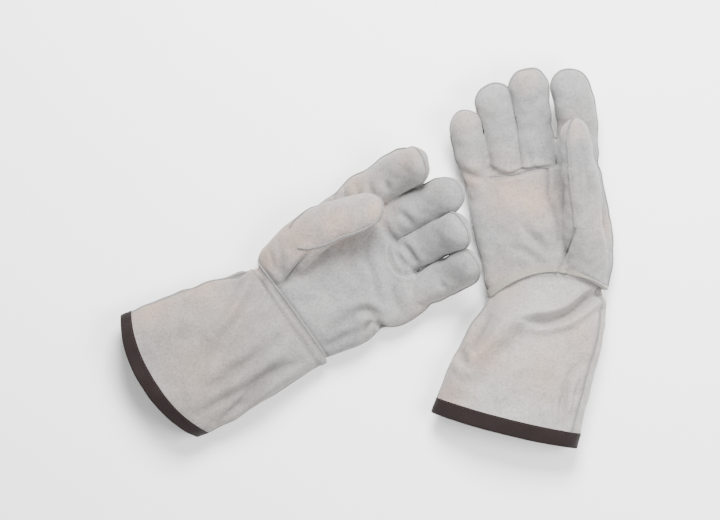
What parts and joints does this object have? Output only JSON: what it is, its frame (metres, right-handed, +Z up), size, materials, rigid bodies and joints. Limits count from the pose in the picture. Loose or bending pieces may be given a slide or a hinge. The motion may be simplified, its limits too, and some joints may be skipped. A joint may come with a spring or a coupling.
{
  "type": "welding gloves",
  "caption": "Pair of suede gauntlet gloves lying palm up, with bent fingers, long open cuffs and dark bound hems, worn to protect hands from heat and sparks.",
  "frame": {"origin": "on the table, below the middle of the pair's bounding box", "axes": "+Z up from the table; +Y from the hems toward the fingertips of the right glove; +X from the left glove to the right glove"},
  "size_m": [0.4654, 0.3615, 0.0873],
  "materials": {
    "suede": "napped split cowhide",
    "piping": "smooth folded strip",
    "binding": "woven tape",
    "lining": "brushed cotton"
  },
  "bodies": {
    "right_hand": {"right_palm": "suede", "right_middle_fingers_insert": "suede", "right_back": "suede", "right_thumb_base_front": "suede", "right_thumb_base_back": "suede", "right_wrist_welt": "piping", "right_hand_lining": "lining"},
    "right_cuff": {"right_cuff_front": "suede", "right_cuff_back": "suede", "right_cuff_binding": "binding", "right_cuff_lining": "lining"},
    "right_thumb": {"right_thumb_tip_front": "suede", "right_thumb_tip_back": "suede"},
    "right_index_finger": {"right_index_tip_front": "suede", "right_index_tip_back": "suede"},
    "right_middle_finger": {"right_middle_tip_front": "suede", "right_middle_tip_back": "suede"},
    "right_ring_finger": {"right_ring_tip_front": "suede", "right_ring_tip_back": "suede"},
    "right_little_finger": {"right_little_tip_front": "suede", "right_little_tip_back": "suede"},
    "left_hand": {"left_palm": "suede", "left_middle_fingers_insert": "suede", "left_back": "suede", "left_thumb_base_front": "suede", "left_thumb_base_back": "suede", "left_wrist_welt": "piping", "left_hand_lining": "lining"},
    "left_cuff": {"left_cuff_front": "suede", "left_cuff_back": "suede", "left_cuff_binding": "binding", "left_cuff_lining": "lining"},
    "left_thumb": {"left_thumb_tip_front": "suede", "left_thumb_tip_back": "suede"},
    "left_index_finger": {"left_index_tip_front": "suede", "left_index_tip_back": "suede"},
    "left_middle_finger": {"left_middle_tip_front": "suede", "left_middle_tip_back": "suede"},
    "left_ring_finger": {"left_ring_tip_front": "suede", "left_ring_tip_back": "suede"},
    "left_little_finger": {"left_little_tip_front": "suede", "left_little_tip_back": "suede"}
  },
  "joints": [
    {"name": "right_index_curl", "type": "hinge", "parent": "right_hand", "child": "right_index_finger", "pos_m": [0.20017, 0.12774, 0.026], "axis": [0.9976, 0.0698, 0], "range_deg": [-12, 45]},
    {"name": "right_middle_curl", "type": "hinge", "parent": "right_hand", "child": "right_middle_finger", "pos_m": [0.16169, 0.12606, 0.026], "axis": [0.996, 0.0893, 0], "range_deg": [-12, 45]},
    {"name": "right_ring_curl", "type": "hinge", "parent": "right_hand", "child": "right_ring_finger", "pos_m": [0.12855, 0.11973, 0.026], "axis": [0.9889, 0.1486, 0], "range_deg": [-12, 45]},
    {"name": "right_little_curl", "type": "hinge", "parent": "right_hand", "child": "right_little_finger", "pos_m": [0.10133, 0.10479, 0.022], "axis": [0.9847, 0.1741, 0], "range_deg": [-12, 45]},
    {"name": "right_thumb_curl", "type": "hinge", "parent": "right_hand", "child": "right_thumb", "pos_m": [0.21055, 0.06532, 0.059], "axis": [0.4447, -0.2141, 0.8697], "range_deg": [-20, 12]},
    {"name": "right_wrist", "type": "hinge", "parent": "right_hand", "child": "right_cuff", "pos_m": [0.1755, -0.02134, 0.019], "axis": [-0.9976, -0.0698, 0], "range_deg": [-8, 8]},
    {"name": "left_index_curl", "type": "hinge", "parent": "left_hand", "child": "left_index_finger", "pos_m": [0.03677, 0.08409, 0.038], "axis": [0.5725, -0.8199, 0], "range_deg": [-25, 32]},
    {"name": "left_middle_curl", "type": "hinge", "parent": "left_hand", "child": "left_middle_finger", "pos_m": [0.059, 0.04958, 0.038], "axis": [0.409, -0.9125, 0], "range_deg": [-25, 32]},
    {"name": "left_ring_curl", "type": "hinge", "parent": "left_hand", "child": "left_ring_finger", "pos_m": [0.07265, 0.01994, 0.038], "axis": [0.3926, -0.9197, 0], "range_deg": [-25, 32]},
    {"name": "left_little_curl", "type": "hinge", "parent": "left_hand", "child": "left_little_finger", "pos_m": [0.08409, -0.01387, 0.034], "axis": [0.5473, -0.837, 0], "range_deg": [-25, 32]},
    {"name": "left_thumb_curl", "type": "hinge", "parent": "left_hand", "child": "left_thumb", "pos_m": [-0.02911, 0.0322, 0.057], "axis": [0.0165, 0.903, -0.4293], "range_deg": [-25, 5]},
    {"name": "left_wrist", "type": "hinge", "parent": "left_hand", "child": "left_cuff", "pos_m": [-0.0662, -0.05157, 0.019], "axis": [-0.5, 0.866, 0], "range_deg": [-8, 8]},
    {"name": "left_glove_lift", "type": "slide", "parent": "right_hand", "child": "left_hand", "axis": [0, 0, 1], "range_m": [0, 0.15]}
  ]
}
